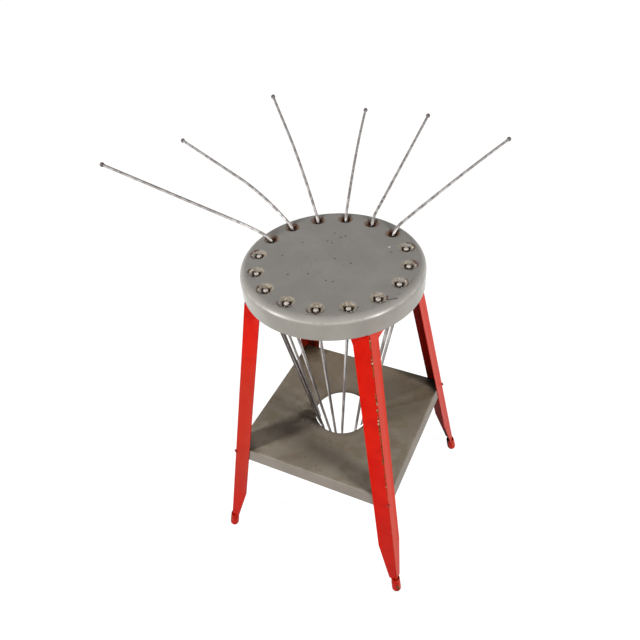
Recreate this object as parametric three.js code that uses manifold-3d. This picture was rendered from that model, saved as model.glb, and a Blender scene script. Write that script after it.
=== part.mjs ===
// A round stool of pressed and folded sheet steel. Sixteen loose rods with ball heads pass through holes
// near the seat's edge. Ten hang down through the round hole of a square shelf. Six are pulled up and lie
// out over the rim. Millimetres, +Z up. The origin is the middle of the seat's flat top, and the floor lies
// one seat height below it.
import * as THREE from "three";
import { mergeVertices } from "three/addons/utils/BufferGeometryUtils.js";
import Module from "manifold-3d";

// Whole stool
const seatHeight = 715;
const fitGap = 0.3;

// Seat pan
const seatRadius = 175;
const rimHeight = 45;
const rimRound = 16;
const seatSheet = 1.5;

// Dimpled holes in the seat
const holeCircleRadius = 143;
const dimpleRadius = 15;
const dimpleStepRadius = 8.75;
const dimpleStepDepth = 4.5;
const throatRadius = 4.4;
const throatDepth = 9.2;

// Rods and ball heads
const rodRadius = 3;
const ballRadius = 5.25;
const spigotRadius = 1.6;
const flatEndLength = 10;
const flatEndBlend = 6;
const neckRadius = 32;
const tailLength = 42;
const gatherRadius = 58.6;
const rodBelowShelf = 25.5;

// Shelf tray
const shelfHeight = 283;
const shelfSkirt = 29.5;
const shelfSheet = 1.5;
const shelfFoldRadius = 4;
const shelfCornerRadius = 2.6;
const shelfHoleRadius = 62;

// Legs
const legSheet = 1.6;
const legFlange = 34.5;
const legRidgeRound = 2.5;
const legRimRadius = 177.6;
const legFloorRadius = 312;
const legFlareHeight = 30;
const legTaperHeight = 135;
const legMouthFlange = 17.5;
const legEndFlange = 11.8;

// Foot cups
const footHeight = 42;
const footSheet = 1.5;
const footWear = 0.5;
const footSlotWidth = 7.5;

// Shelf bolts and nuts
const boltDepth = 14.5;
const boltRadius = 2.5;
const boltHeadRadius = 4.2;
const boltHeadHeight = 2.8;
const boltHoleRadius = 2.9;
const boltTail = 3;
const nutWidth = 8;
const nutHeight = 4;

// Shares and angles
const holeCount = 16;
const firstHoleAngle = 58.3;
const legAngles = { front: -45, right: 45, back: 135, left: 225 };
const neckRootAngle = 65;
const flatWideShare = 1.6;
const flatThinShare = 0.6;
const ridgeVeeShare = 1.3;

// Rods that hang in their dimples: how far each lower end has turned round the shelf's hole, in degrees, and
// how far out it lies there as a share of the gathering radius.
const hangingRods = {
  2: { turn: 0, reachShare: 1 },
  3: { turn: 3, reachShare: 1 },
  4: { turn: 9, reachShare: 0.88 },
  5: { turn: -3, reachShare: 0.97 },
  6: { turn: -13, reachShare: 1 },
  7: { turn: -5, reachShare: 1 },
  8: { turn: 4, reachShare: 1 },
  9: { turn: 2, reachShare: 0.98 },
  10: { turn: -2, reachShare: 1 },
  11: { turn: 1, reachShare: 1 },
};

// Rods that are pulled up: the compass angle of the arm, its rise in degrees where it leaves the bent neck
// and at its tip, and the share of the arm over which the rise changes from one to the other.
const raisedRods = {
  12: { angle: 179.2, rootRise: 19.6, tipRise: 12.3, bendShare: 0.15 },
  13: { angle: 155.8, rootRise: 23.9, tipRise: 3.5, bendShare: 0.42 },
  14: { angle: 130.2, rootRise: 28, tipRise: 10, bendShare: 0.64 },
  15: { angle: 106.4, rootRise: 15.1, tipRise: 0, bendShare: 0.95 },
  16: { angle: 92.5, rootRise: 6, tipRise: 6.9, bendShare: 0.95 },
  1: { angle: 71.2, rootRise: 6.1, tipRise: 2.8, bendShare: 0.95 },
};

// Facets
const latheSides = 64;
const dimpleSides = 16;
const rodSides = 12;
const ballSides = 14;
const smallSides = 20;
const roundSteps = 5;
const cornerSteps = 3;
const neckSteps = 8;
const bendSteps = 7;

// Derived places
const radians = THREE.MathUtils.degToRad;
const floorLevel = -seatHeight;
const shelfLevel = shelfHeight - seatHeight;
const seatInnerRadius = seatRadius - seatSheet;

// A sharp corner stands this share of its rounding outside the rounded one, along the diagonal.
const cornerExcessShare = Math.SQRT2 - 1;

// The leg's sharp ridge leans out below the rim's lower edge, where it stands just outside the rim. Above it
// only the two tabs go on, inside the rim. Each tab's outer face is a chord of the circle that fits there.
const legSlope = (legFloorRadius - legRimRadius) / (seatHeight - rimHeight);
const rimFitRadius = seatInnerRadius - fitGap;
const tabStart = (legRimRadius - Math.sqrt(2 * rimFitRadius ** 2 - legRimRadius ** 2)) / 2;
const tabWidth = legFlange - tabStart * Math.SQRT2;
const tabTurn = Math.atan2(tabStart, legRimRadius - tabStart) + Math.asin(tabWidth / (2 * rimFitRadius));
const legLean = Math.atan(legSlope);
const shelfFlare = Math.atan(legSlope / Math.SQRT2);

// A foot cup's round bottom has its middle on the cup's axis, one radius up, less what is worn off flat.
const footInnerRadius = (legEndFlange * Math.SQRT1_2 + fitGap) / Math.cos(legLean);
const footRadius = footInnerRadius + footSheet;
const footDomeLevel = floorLevel + footRadius - footWear;
const legEndLevel = footDomeLevel + footInnerRadius * legSlope + fitGap;

function ridgeRadiusAt(level) {
  return legRimRadius + Math.max(0, -rimHeight - level) * legSlope;
}

function compass(degrees) {
  return new THREE.Vector3(Math.cos(radians(degrees)), Math.sin(radians(degrees)), 0);
}

function radialPoint(radius, degrees, level) {
  return compass(degrees).multiplyScalar(radius).setZ(level);
}

function holeAngle(number) {
  return firstHoleAngle - ((number - 1) * 360) / holeCount;
}

// Helpers
const wasm = await Module();
wasm.setup();

// Welds a geometry and drops the triangles that have shrunk to a line.
function welded(geometry) {
  const plain = geometry.clone();
  plain.deleteAttribute("normal");
  plain.deleteAttribute("uv");
  const merged = mergeVertices(plain);
  const index = merged.index.array;
  const kept = [];
  for (let i = 0; i < index.length; i += 3) {
    const [a, b, c] = [index[i], index[i + 1], index[i + 2]];
    if (a !== b && b !== c && c !== a) {
      kept.push(a, b, c);
    }
  }
  merged.setIndex(kept);
  return merged;
}

function solidOf(geometry) {
  const mesh = welded(geometry);
  const vertProperties = new Float32Array(mesh.attributes.position.array);
  const triVerts = new Uint32Array(mesh.index.array);
  return new wasm.Manifold(new wasm.Mesh({ numProp: 3, vertProperties, triVerts }));
}

function geometryOf(solid) {
  const mesh = solid.getMesh();
  const geometry = new THREE.BufferGeometry();
  const positions = [];
  for (let i = 0; i < mesh.vertProperties.length; i += mesh.numProp) {
    positions.push(mesh.vertProperties[i], mesh.vertProperties[i + 1], mesh.vertProperties[i + 2]);
  }
  geometry.setAttribute("position", new THREE.Float32BufferAttribute(positions, 3));
  geometry.setIndex(Array.from(mesh.triVerts));
  return geometry;
}

// Points on an arc in the (radius, height) plane, from one angle in degrees to another.
function arcPoints(centreRadius, centreHeight, radius, fromDegrees, toDegrees, steps) {
  const points = [];
  for (let i = 0; i <= steps; i += 1) {
    const angle = radians(fromDegrees + ((toDegrees - fromDegrees) * i) / steps);
    const across = centreRadius + radius * Math.cos(angle);
    points.push(new THREE.Vector2(across, centreHeight + radius * Math.sin(angle)));
  }
  return points;
}

// Turns a profile of (radius, height) points round the +Z axis. Material lies to the left of the profile.
function turned(profile, sides) {
  return new THREE.LatheGeometry(profile, sides).rotateX(Math.PI / 2);
}

function turnedRod(radius, fromHeight, toHeight, sides) {
  const profile = [
    new THREE.Vector2(0, fromHeight),
    new THREE.Vector2(radius, fromHeight),
    new THREE.Vector2(radius, toHeight),
    new THREE.Vector2(0, toHeight),
  ];
  return turned(profile, sides);
}

// Skins a stack of level rings that have equal point counts and run anticlockwise seen from above.
function lofted(rings) {
  const count = rings[0].length;
  const positions = rings.flat().flatMap((point) => [point.x, point.y, point.z]);
  const index = [];
  for (let i = 0; i + 1 < rings.length; i += 1) {
    for (let j = 0; j < count; j += 1) {
      const here = i * count + j;
      const next = i * count + ((j + 1) % count);
      index.push(here, next, next + count);
      index.push(here, next + count, here + count);
    }
  }
  const flat = (ring) => ring.map((point) => new THREE.Vector2(point.x, point.y));
  const capOf = (ring) => THREE.ShapeUtils.triangulateShape(flat(ring), []);
  const last = (rings.length - 1) * count;
  capOf(rings[0]).forEach(([a, b, c]) => index.push(a, c, b));
  capOf(rings[rings.length - 1]).forEach(([a, b, c]) => index.push(last + a, last + b, last + c));
  const geometry = new THREE.BufferGeometry();
  geometry.setAttribute("position", new THREE.Float32BufferAttribute(positions, 3));
  geometry.setIndex(index);
  return geometry;
}

// Stands a geometry made along +Z on a point, with its +Z turned to the direction.
function placed(geometry, point, direction) {
  const turn = new THREE.Quaternion().setFromUnitVectors(new THREE.Vector3(0, 0, 1), direction);
  return geometry.applyQuaternion(turn).translate(point.x, point.y, point.z);
}

// Materials
function paintedSteel(colour, roughness) {
  return new THREE.MeshStandardMaterial({ color: colour, roughness, metalness: 0.1 });
}

function bareSteel(colour, roughness) {
  return new THREE.MeshStandardMaterial({ color: colour, roughness, metalness: 0.9 });
}

const seatPaint = () => paintedSteel(0x847f78, 0.45);
const shelfPaint = () => paintedSteel(0x6b6356, 0.6);
const legPaint = () => paintedSteel(0xc8281a, 0.45);
const rodSteel = () => bareSteel(0x8c8886, 0.38);
const ballSteel = () => bareSteel(0xb4b0aa, 0.28);
const boltSteel = () => bareSteel(0x6e5a46, 0.55);

// Seat pan
function seatShell() {
  const flatRadius = seatRadius - rimRound;
  const innerRound = rimRound - seatSheet;
  const profile = [
    new THREE.Vector2(0, -seatSheet),
    ...arcPoints(flatRadius, -rimRound, innerRound, 90, 0, roundSteps),
    new THREE.Vector2(seatInnerRadius, -rimHeight),
    new THREE.Vector2(seatRadius, -rimHeight),
    ...arcPoints(flatRadius, -rimRound, rimRound, 0, 90, roundSteps),
    new THREE.Vector2(0, 0),
  ];
  return solidOf(turned(profile, latheSides));
}

// The space of a dimple and its throat, from above the seat to below the pressed metal.
function dimpleFunnel() {
  const bottom = -throatDepth - 2 * seatSheet;
  const profile = [
    new THREE.Vector2(0, bottom),
    new THREE.Vector2(throatRadius, bottom),
    new THREE.Vector2(throatRadius, -throatDepth),
    new THREE.Vector2(dimpleStepRadius, -dimpleStepDepth),
    new THREE.Vector2(dimpleRadius, 0),
    new THREE.Vector2(dimpleRadius, seatSheet),
    new THREE.Vector2(0, seatSheet),
  ];
  return turned(profile, dimpleSides);
}

// The metal pressed down round that space, below the flat sheet.
function dimpleCone() {
  const bottom = -throatDepth - seatSheet;
  const profile = [
    new THREE.Vector2(0, bottom),
    new THREE.Vector2(throatRadius + seatSheet, bottom),
    new THREE.Vector2(dimpleStepRadius + seatSheet, -dimpleStepDepth - seatSheet),
    new THREE.Vector2(dimpleRadius, -seatSheet),
    new THREE.Vector2(dimpleRadius, -seatSheet / 2),
    new THREE.Vector2(0, -seatSheet / 2),
  ];
  return turned(profile, dimpleSides);
}

function seatPan() {
  let pan = seatShell();
  for (let number = 1; number <= holeCount; number += 1) {
    const centre = radialPoint(holeCircleRadius, holeAngle(number), 0);
    const cone = solidOf(dimpleCone().translate(centre.x, centre.y, 0));
    const funnel = solidOf(dimpleFunnel().translate(centre.x, centre.y, 0));
    pan = pan.add(cone).subtract(funnel);
  }
  return geometryOf(pan);
}

// Shelf tray
function roundedSquare(half, corner, level) {
  const ring = [];
  for (let quarter = 0; quarter < 4; quarter += 1) {
    const centre = radialPoint((half - corner) * Math.SQRT2, 90 * quarter + 45, level);
    for (let i = 0; i <= cornerSteps; i += 1) {
      const outward = compass(90 * (quarter + i / cornerSteps));
      ring.push(centre.clone().addScaledVector(outward, corner));
    }
  }
  return ring;
}

// Half the tray's width where its skirt's plane meets its top plane: just inside the legs' inner faces.
const shelfHalf = ridgeRadiusAt(shelfLevel) / Math.SQRT2 - (legSheet + fitGap) / Math.cos(shelfFlare);

// One face of the folded sheet, from the flat top over the fold and down the flared skirt. Each point holds
// half the tray's width and the level.
function trayFold(inset) {
  const foldRadius = shelfFoldRadius - inset;
  const flare = THREE.MathUtils.radToDeg(shelfFlare);
  const reach = shelfFoldRadius / Math.tan(radians((90 + flare) / 2));
  const centreLevel = shelfLevel - shelfFoldRadius;
  const fold = arcPoints(shelfHalf - reach, centreLevel, foldRadius, 90, flare, roundSteps);
  const end = fold[fold.length - 1];
  const bottom = shelfLevel - shelfSkirt;
  fold.push(new THREE.Vector2(end.x + (end.y - bottom) * Math.tan(shelfFlare), bottom));
  return fold;
}

function shelfTray() {
  const ringsOf = (inset) => trayFold(inset).map((place) => {
    return roundedSquare(place.x, shelfCornerRadius - inset, place.y);
  });
  const bottom = shelfLevel - shelfFoldRadius;
  const hole = turnedRod(shelfHoleRadius, bottom, shelfLevel + shelfSheet, latheSides);
  let tray = solidOf(lofted([...ringsOf(shelfSheet), ...ringsOf(0).reverse()])).subtract(solidOf(hole));
  Object.values(legAngles).forEach((angle) => {
    tray = tray.subtract(boltHole(angle));
  });
  return geometryOf(tray);
}

// Legs
// Each flange of a leg leaves the ridge in the leg's own plane as far as the crease, and from there on bends
// in towards the inside of the seat's rim. The crease runs out and down from the rim's lower edge to the
// flange's edge.
function creaseWidthAt(level, width) {
  const least = Math.max(tabStart * Math.SQRT2, ridgeVeeShare * legRidgeRound);
  const share = THREE.MathUtils.clamp((-rimHeight - level) / legFlareHeight, 0, 1);
  return least + (width - ridgeVeeShare * legRidgeRound - least) * share;
}

function flangeWidthAt(level) {
  const mouth = floorLevel + footHeight;
  const taperTop = floorLevel + legTaperHeight;
  if (level <= mouth) {
    return legEndFlange;
  }
  const share = THREE.MathUtils.clamp((level - mouth) / (taperTop - mouth), 0, 1);
  return legMouthFlange + (legFlange - legMouthFlange) * share;
}

// Moves an open line sideways to its left by the given distance, with mitred corners.
function offsetLine(points, distance) {
  const sideOf = (from, to) => {
    const along = to.clone().sub(from).normalize();
    return new THREE.Vector2(-along.y, along.x);
  };
  return points.map((point, i) => {
    const before = i > 0 ? sideOf(points[i - 1], point) : sideOf(point, points[1]);
    const after = i + 1 < points.length ? sideOf(point, points[i + 1]) : before;
    const middle = before.clone().add(after).normalize();
    return point.clone().add(middle.multiplyScalar(distance / middle.dot(before)));
  });
}

// The section of a leg at one level, with x outward along the leg's diagonal and y across it.
function legRing(level) {
  const ridge = new THREE.Vector2(ridgeRadiusAt(level), 0);
  const width = flangeWidthAt(level);
  const creaseWidth = creaseWidthAt(level, width);
  const own = new THREE.Vector2(-Math.SQRT1_2, Math.SQRT1_2);
  const tab = new THREE.Vector2(-Math.sin(tabTurn), Math.cos(tabTurn));
  const beyond = level < -rimHeight - legFlareHeight ? own : tab;
  const crease = ridge.clone().addScaledVector(own, creaseWidth);
  const edge = crease.clone().addScaledVector(beyond, width - creaseWidth);
  const mirrored = (point) => new THREE.Vector2(point.x, -point.y);
  const tip = arcPoints(ridge.x - legRidgeRound * Math.SQRT2, 0, legRidgeRound, -45, 45, cornerSteps);
  const outer = [mirrored(edge), mirrored(crease), ...tip, crease, edge];
  const inner = offsetLine([mirrored(edge), mirrored(crease), ridge, crease, edge], legSheet);
  return [...outer, ...inner.reverse()].map((point) => new THREE.Vector3(point.x, point.y, level));
}

// The space of the rim's sheet and all that lies outside it, which a leg's top keeps clear of.
function rimSpace() {
  const bottom = -rimHeight - fitGap;
  const outside = legRimRadius + legFlange;
  const profile = [
    new THREE.Vector2(rimFitRadius, bottom),
    new THREE.Vector2(outside, bottom),
    new THREE.Vector2(outside, 0),
    new THREE.Vector2(rimFitRadius, 0),
    new THREE.Vector2(rimFitRadius, bottom),
  ];
  return solidOf(turned(profile, latheSides));
}

function legGeometry(angle) {
  const mouth = floorLevel + footHeight;
  const flareShares = [1, 0.75, 0.5, 0.25, 0];
  const flareLevels = flareShares.map((share) => -rimHeight - share * legFlareHeight);
  const levels = [
    legEndLevel,
    mouth,
    mouth + legSheet,
    floorLevel + legTaperHeight,
    flareLevels[0] - fitGap,
    ...flareLevels,
    -rimRound,
  ];
  const leg = solidOf(lofted(levels.map(legRing)).rotateZ(radians(angle)));
  return geometryOf(leg.subtract(rimSpace()).subtract(boltHole(angle)));
}

// Foot cups
// A cup is rolled from sheet and drawn in to a round bottom. The leg's narrowed end stands in it, and its
// seam is left open as a slot that faces the middle of the stool.
function footCup(angle) {
  const top = (footHeight - footRadius) / Math.cos(legLean);
  const profile = [
    ...arcPoints(0, 0, footInnerRadius, -90, 0, roundSteps),
    new THREE.Vector2(footInnerRadius, top),
    new THREE.Vector2(footRadius, top),
    ...arcPoints(0, 0, footRadius, 0, -90, roundSteps),
  ].reverse();
  const axisRadius = ridgeRadiusAt(footDomeLevel) - legEndFlange * Math.SQRT1_2;
  const middle = new THREE.Vector3(axisRadius, 0, footDomeLevel);
  const axis = new THREE.Vector3(-Math.sin(legLean), 0, Math.cos(legLean));
  const slot = new THREE.BoxGeometry(seatHeight, footSlotWidth, footHeight);
  slot.translate(-seatHeight / 2, 0, footHeight / 2);
  const standing = (geometry) => solidOf(placed(geometry, middle, axis).rotateZ(radians(angle)));
  const cup = standing(turned(profile, smallSides)).subtract(standing(slot));
  const ground = new THREE.BoxGeometry(2 * seatHeight, 2 * seatHeight, seatHeight);
  return geometryOf(cup.subtract(solidOf(ground.translate(0, 0, floorLevel - seatHeight / 2))));
}

// Shelf bolts and nuts
// The bolt stands square to the leg's ridge. Its place is the point where its axis meets the rounded ridge.
function boltPlace(angle) {
  const level = shelfLevel - boltDepth;
  const point = radialPoint(ridgeRadiusAt(level) - cornerExcessShare * legRidgeRound, angle, level);
  const axis = compass(angle).multiplyScalar(Math.cos(legLean)).setZ(Math.sin(legLean));
  return { point, axis };
}

function boltHole(angle) {
  const { point, axis } = boltPlace(angle);
  return solidOf(placed(turnedRod(boltHoleRadius, -nutWidth, nutHeight, smallSides), point, axis));
}

// How far the nut's near face lies inside the ridge: past the leg, the tray's corner and half the nut's own
// width, because the nut is drawn up between the corner's two faces.
const nutFaceDepth = (legSheet + shelfSheet + 2 * fitGap) * Math.SQRT2 + nutWidth / 2;

function boltGeometry(angle) {
  const { point, axis } = boltPlace(angle);
  const domeRadius = (boltHeadRadius ** 2 + boltHeadHeight ** 2) / (2 * boltHeadHeight);
  const edgeAngle = THREE.MathUtils.radToDeg(Math.asin((domeRadius - boltHeadHeight) / domeRadius));
  const end = -nutFaceDepth - nutHeight - boltTail;
  const profile = [
    new THREE.Vector2(0, end),
    new THREE.Vector2(boltRadius, end),
    new THREE.Vector2(boltRadius, fitGap),
    ...arcPoints(0, fitGap + boltHeadHeight - domeRadius, domeRadius, edgeAngle, 90, roundSteps),
  ];
  return geometryOf(solidOf(placed(turned(profile, smallSides), point, axis)));
}

function nutGeometry(angle) {
  const { point, axis } = boltPlace(angle);
  const cornerReach = nutWidth / 2 / Math.cos(Math.PI / 6);
  const cornerAngles = [30, 90, 150, 210, 270, 330];
  const hexagon = new THREE.Shape();
  hexagon.setFromPoints(cornerAngles.map((degrees) => compass(degrees).multiplyScalar(cornerReach)));
  const bore = new THREE.Path();
  bore.absarc(0, 0, boltRadius + fitGap, 0, 2 * Math.PI, true);
  hexagon.holes.push(bore);
  const settings = { depth: nutHeight, bevelEnabled: false, curveSegments: smallSides / 2 };
  const nut = new THREE.ExtrudeGeometry(hexagon, settings).translate(0, 0, -nutFaceDepth - nutHeight);
  return geometryOf(solidOf(placed(nut, point, axis)));
}

// Rods and ball heads
// A line through fixed stations, so that what is extruded along it has a ring exactly at each of them.
class StationLine extends THREE.Curve {
  constructor(stations) {
    super();
    this.stations = stations;
  }

  getPoint(share) {
    const place = share * (this.stations.length - 1);
    const first = Math.min(Math.floor(place), this.stations.length - 2);
    return this.stations[first].point.clone().lerp(this.stations[first + 1].point, place - first);
  }

  getPointAt(share) {
    return this.getPoint(share);
  }

  getTangentAt(share) {
    return this.stations[Math.round(share * (this.stations.length - 1))].along.clone();
  }
}

// The level of the centre of a ball that rests in its dimple.
const across = dimpleStepRadius - throatRadius;
const down = throatDepth - dimpleStepDepth;
const ballReach = (ballRadius + fitGap) * Math.hypot(across, down) - dimpleStepRadius * down;
const ballLevel = ballReach / across - dimpleStepDepth;

// Every rod is as long as one that hangs straight in to the edge of the shelf's hole and stands below it.
const reachToShelf = Math.hypot(holeCircleRadius - gatherRadius, ballLevel - shelfLevel);
const rodLength = reachToShelf + rodBelowShelf;

// The rod's shoulder carries the flat under the ball.
const ballFlatDrop = Math.sqrt(ballRadius ** 2 - rodRadius ** 2);

function moved(station, distance, shares = {}) {
  const point = station.point.clone().addScaledVector(station.along, distance);
  return { ...station, point, ...shares };
}

// Adds the stations of a rod's two ends: the flattened foot, which is wider than the throat above it, and
// the shoulder and spigot inside the ball.
function withEnds(middle) {
  const foot = middle[0];
  const tip = middle[middle.length - 1];
  const flat = { wideShare: flatWideShare, thinShare: flatThinShare };
  const slim = { wideShare: spigotRadius / rodRadius, thinShare: spigotRadius / rodRadius };
  return [
    moved(foot, 0, flat),
    moved(foot, flatEndLength, flat),
    moved(foot, flatEndLength + flatEndBlend),
    ...middle.slice(1, -1),
    moved(tip, -ballFlatDrop - 2 * fitGap),
    moved(tip, -ballFlatDrop - fitGap, slim),
    moved(tip, ballRadius - fitGap, slim),
  ];
}

// A hanging rod runs straight from its ball, in the middle of the dimple, to the edge of the shelf's hole.
function hangingStations(number) {
  const { turn, reachShare } = hangingRods[number];
  const angle = holeAngle(number);
  const point = radialPoint(holeCircleRadius, angle, ballLevel);
  const gather = radialPoint(gatherRadius * reachShare, angle + turn, shelfLevel);
  const tip = { point, along: point.clone().sub(gather).normalize() };
  return [moved(tip, -rodLength), tip];
}

// A raised rod lies in one upright plane: a straight tail below the seat, a neck bent over the dimple's lip,
// and a long arm.
function raisedStations(number) {
  const { angle, rootRise, tipRise, bendShare } = raisedRods[number];
  const stationAt = (point, rise) => {
    const along = compass(angle).multiplyScalar(Math.cos(radians(rise))).setZ(Math.sin(radians(rise)));
    return { point, along };
  };
  const throat = stationAt(radialPoint(holeCircleRadius, holeAngle(number), -throatDepth), neckRootAngle);
  const stations = [moved(throat, -tailLength), throat];
  const advance = (length, fromRise, toRise, steps) => {
    const riseAt = (step) => fromRise + ((toRise - fromRise) * step) / steps;
    for (let i = 0; i < steps; i += 1) {
      const last = stations[stations.length - 1];
      const chord = stationAt(last.point, riseAt(i + 0.5));
      stations.push(stationAt(moved(chord, length / steps).point, riseAt(i + 1)));
    }
  };
  const neckLength = neckRadius * radians(neckRootAngle - rootRise);
  const armLength = rodLength - tailLength - neckLength;
  advance(neckLength, neckRootAngle, rootRise, neckSteps);
  advance(armLength * bendShare, rootRise, tipRise, bendSteps);
  advance(armLength * (1 - bendShare), tipRise, tipRise, 1);
  return stations;
}

function rodStations(number) {
  return number in raisedRods ? raisedStations(number) : hangingStations(number);
}

// Widens or thins the extruded round section at the stations that ask for it.
function shapeSections(places, stations) {
  const distanceTo = (point) => (station) => station.point.distanceTo(point);
  for (let i = 0; i < places.count; i += 1) {
    const point = new THREE.Vector3().fromBufferAttribute(places, i);
    const distances = stations.map(distanceTo(point));
    const nearest = stations[distances.indexOf(Math.min(...distances))];
    const { point: middle, along, wideShare = 1, thinShare = 1 } = nearest;
    const wide = new THREE.Vector3(0, 0, 1).cross(along).normalize();
    const thin = along.clone().cross(wide);
    const offset = point.clone().sub(middle);
    point.addScaledVector(wide, offset.dot(wide) * (wideShare - 1));
    point.addScaledVector(thin, offset.dot(thin) * (thinShare - 1));
    places.setXYZ(i, point.x, point.y, point.z);
  }
}

function rodGeometry(number) {
  const stations = withEnds(rodStations(number));
  const section = new THREE.Shape();
  section.absarc(0, 0, rodRadius, 0, 2 * Math.PI, false);
  const steps = stations.length - 1;
  const extrudePath = new StationLine(stations);
  const settings = { steps, extrudePath, curveSegments: rodSides / 2, bevelEnabled: false };
  const rod = new THREE.ExtrudeGeometry(section, settings);
  shapeSections(rod.attributes.position, stations);
  return geometryOf(solidOf(rod));
}

// The ball is flat below, where the rod's shoulder carries it, and bored through for the spigot.
function ballGeometry(number) {
  const stations = rodStations(number);
  const centre = stations[stations.length - 1];
  const bore = spigotRadius + fitGap;
  const boreAngle = THREE.MathUtils.radToDeg(Math.acos(bore / ballRadius));
  const flatAngle = THREE.MathUtils.radToDeg(Math.acos(rodRadius / ballRadius));
  const profile = [
    new THREE.Vector2(bore, -ballFlatDrop),
    ...arcPoints(0, 0, ballRadius, -flatAngle, boreAngle, 2 * roundSteps),
  ];
  profile.push(profile[0].clone());
  return geometryOf(solidOf(placed(turned(profile, ballSides), centre.point, centre.along)));
}

// The stool
const stool = new THREE.Group();
stool.name = "rod_stool";

function addPiece(name, geometry, material) {
  geometry.computeVertexNormals();
  const mesh = new THREE.Mesh(geometry, material);
  mesh.name = name;
  stool.add(mesh);
}

addPiece("seat_pan", seatPan(), seatPaint());
addPiece("shelf_tray", shelfTray(), shelfPaint());
Object.entries(legAngles).forEach(([side, angle]) => {
  addPiece(`leg_${side}`, legGeometry(angle), legPaint());
  addPiece(`foot_${side}`, footCup(angle), legPaint());
  addPiece(`shelf_bolt_${side}`, boltGeometry(angle), boltSteel());
  addPiece(`shelf_nut_${side}`, nutGeometry(angle), boltSteel());
});
for (let number = 1; number <= holeCount; number += 1) {
  const label = String(number).padStart(2, "0");
  addPiece(`rod_${label}`, rodGeometry(number), rodSteel());
  addPiece(`ball_${label}`, ballGeometry(number), ballSteel());
}

export default stool;
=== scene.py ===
"""The looks of the round rod stool: its steel pieces and their finishes, the floor, lights and camera."""
import math

import bmesh
import bpy
import numpy as np
from mathutils import Matrix, Vector, noise


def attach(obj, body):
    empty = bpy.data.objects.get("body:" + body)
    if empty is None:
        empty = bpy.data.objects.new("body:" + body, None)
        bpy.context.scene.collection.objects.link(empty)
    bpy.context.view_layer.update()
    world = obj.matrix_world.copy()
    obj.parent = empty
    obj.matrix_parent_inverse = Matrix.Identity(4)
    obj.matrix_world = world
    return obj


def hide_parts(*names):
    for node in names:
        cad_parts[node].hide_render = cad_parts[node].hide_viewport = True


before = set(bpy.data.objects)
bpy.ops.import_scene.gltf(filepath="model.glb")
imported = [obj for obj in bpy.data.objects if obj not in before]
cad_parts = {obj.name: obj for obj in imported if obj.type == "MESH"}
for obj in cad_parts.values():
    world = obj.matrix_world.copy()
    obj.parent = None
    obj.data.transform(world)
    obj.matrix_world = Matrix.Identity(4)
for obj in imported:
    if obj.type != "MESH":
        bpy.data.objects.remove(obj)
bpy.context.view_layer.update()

# Sizes in millimetres, as in the part's own source
MM = 0.001
seat_height = 715
fit_gap = 0.3
seat_radius = 175
rim_height = 45
rim_round = 16
seat_sheet = 1.5
hole_circle = 143
dimple_step_radius = 8.75
dimple_step_depth = 4.5
throat_radius = 4.4
throat_depth = 9.2
rod_radius = 3
ball_radius = 5.25
spigot_radius = 1.6
flat_end = 10
flat_blend = 6
neck_radius = 32
tail_length = 42
gather_radius = 58.6
rod_below_shelf = 25.5
shelf_level = 283 - seat_height
shelf_skirt = 29.5
shelf_sheet = 1.5
shelf_fold = 4
shelf_corner = 2.6
shelf_hole = 62
leg_sheet = 1.6
leg_flange = 34.5
leg_ridge_round = 2.5
leg_rim_radius = 177.6
leg_floor_radius = 312
leg_flare = 30
leg_taper = 135
leg_mouth_flange = 17.5
leg_end_flange = 11.8
foot_height = 42
foot_sheet = 1.5
foot_wear = 0.5
foot_slot = 7.5
bolt_depth = 14.5
bolt_radius = 2.5
bolt_head_radius = 4.2
bolt_head_height = 2.8
bolt_tail = 3
nut_width = 8
nut_height = 4
hole_count = 16
first_hole = 58.3
hole_step = 360 / hole_count
leg_angles = {"front": -45, "right": 45, "back": 135, "left": 225}
neck_root_rise = 65

# Each stored rod's turn in degrees at the shelf's hole, and its share of the gathering radius
hanging_rods = {
    2: (0, 1), 3: (3, 1), 4: (9, 0.88), 5: (-3, 0.97), 6: (-13, 1),
    7: (-5, 1), 8: (4, 1), 9: (2, 0.98), 10: (-2, 1), 11: (1, 1),
}

# Each raised rod's direction, its rises at the root and tip in degrees, and the share of its arm that bends
raised_rods = {
    12: (179.2, 19.6, 12.3, 0.15),
    13: (155.8, 23.9, 3.5, 0.42),
    14: (130.2, 28, 10, 0.64),
    15: (106.4, 15.1, 0, 0.95),
    16: (92.5, 6, 6.9, 0.95),
    1: (71.2, 6.1, 2.8, 0.95),
}
dark_rods = (9, 10)

# Sizes that only the looks have
cup_shrink = 0.2
head_shrink = 0.14
mouth_drop = 1.4
sheet_edge = 0.3
seat_dent = 0.35
seat_dent_width = 46
shelf_dent = 0.8
shelf_dent_width = 70
leg_dent = 0.5
leg_dent_width = 30
flange_edge = 0.1
cup_lip = 0.25
bolt_chamfer = 0.5
bolt_head_edge = 0.5
nut_chamfer = 0.7
thread_pitch = 0.8
thread_depth = 0.35
thread_grip = 4
smooth_angle = 35
edge_angle = 50
weld_distance = 0.002

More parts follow.
